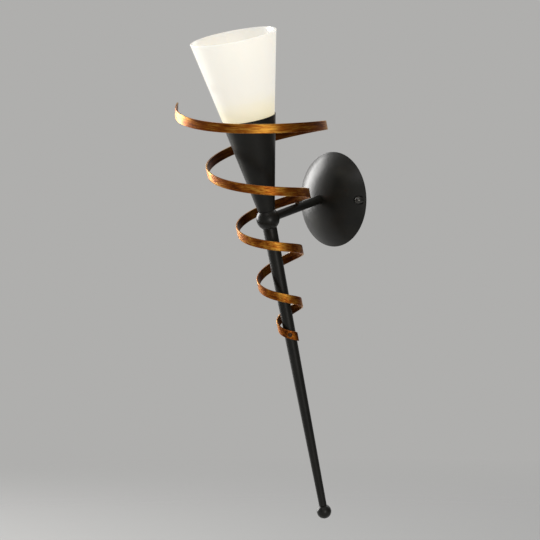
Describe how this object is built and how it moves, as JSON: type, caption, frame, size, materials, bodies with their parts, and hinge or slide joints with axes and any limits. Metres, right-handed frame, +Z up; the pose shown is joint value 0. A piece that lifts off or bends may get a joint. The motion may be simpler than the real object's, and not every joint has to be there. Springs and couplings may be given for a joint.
{
  "type": "torch wall sconce",
  "caption": "Wall light shaped like a leaning torch: domed canopy, short arm, metal cup with an open white glass cone, tapered handle, and a spiral metal ribbon.",
  "frame": {"origin": "middle of the bracket's back face, on the wall", "axes": "+Y into the wall, -Y into the room, +Z up, +X to the right when facing the wall"},
  "size_m": [0.1621, 0.2309, 0.6096],
  "materials": {
    "canopy_black": "satin near-black brown",
    "bare_steel": "zinc plated",
    "brass": "satin",
    "ribbon_copper": "antique brushed copper",
    "opal_glass": "opal, satin",
    "bulb_glass": "frosted",
    "lamp_metal": "bright",
    "dark_plastic": "matt",
    "white_plastic": "matt",
    "felt": "felt",
    "wire_brown": "matt",
    "wire_blue": "matt",
    "wire_green": "matt"
  },
  "bodies": {
    "sconce": {"wall_bracket": "bare_steel", "earth_screw": "brass", "earth_tag": "brass", "terminal_block": "white_plastic", "terminal_screws": "bare_steel", "canopy": "canopy_black", "arm_washer": "bare_steel", "arm_lock_washer": "bare_steel", "arm_nut": "brass", "arm_rod": "bare_steel", "arm_bush": "white_plastic", "arm_tube": "canopy_black", "ball": "canopy_black", "torch_rod": "bare_steel", "torch_cup": "canopy_black", "cup_washer": "bare_steel", "cup_nut": "brass", "lampholder_base": "dark_plastic", "lampholder_body": "dark_plastic", "lampholder_shell": "brass", "lampholder_contact": "brass", "glass_seat": "felt", "handle": "canopy_black", "handle_stud": "bare_steel", "tip_plug": "bare_steel", "finial_stud": "bare_steel", "ribbon": "ribbon_copper", "ribbon_spacer": "ribbon_copper", "ribbon_rivet": "ribbon_copper", "ribbon_braze": "ribbon_copper", "wire_live": "wire_brown", "wire_neutral": "wire_blue", "wire_earth": "wire_green"},
    "screw_left": {"canopy_screw_left": "canopy_black"},
    "screw_right": {"canopy_screw_right": "canopy_black"},
    "shade": {"glass_shade": "opal_glass"},
    "bulb_carriage": {"bulb_tip": "bare_steel"},
    "bulb": {"bulb_insulator": "dark_plastic", "bulb_cap": "lamp_metal", "bulb_glass": "bulb_glass"},
    "finial": {"finial": "canopy_black"}
  },
  "joints": [
    {"name": "canopy_screw_left_turn", "type": "hinge", "parent": "sconce", "child": "screw_left", "pos_m": [-0.05228, 0, 0], "axis": [0, -1, 0], "continuous": true},
    {"name": "canopy_screw_right_turn", "type": "hinge", "parent": "sconce", "child": "screw_right", "pos_m": [0.05228, 0, 0], "axis": [0, -1, 0], "continuous": true},
    {"name": "shade_lift", "type": "slide", "parent": "sconce", "child": "shade", "axis": [0, -0.2504, 0.9681], "range_m": [0, 0.12]},
    {"name": "bulb_lift", "type": "slide", "parent": "sconce", "child": "bulb_carriage", "axis": [0, -0.2504, 0.9681], "range_m": [0, 0.017]},
    {"name": "bulb_turn", "type": "hinge", "parent": "bulb_carriage", "child": "bulb", "pos_m": [0, -0.13523, 0.07478], "axis": [0, -0.2504, 0.9681], "range_deg": [0, 2160]},
    {"name": "finial_turn", "type": "hinge", "parent": "sconce", "child": "finial", "pos_m": [0, -0.0153, -0.38896], "axis": [0, -0.2504, 0.9681], "continuous": true}
  ],
  "couplings": [
    {"joint": "bulb_lift", "follows": "bulb_turn", "m_per_rad": 0.00044882}
  ]
}
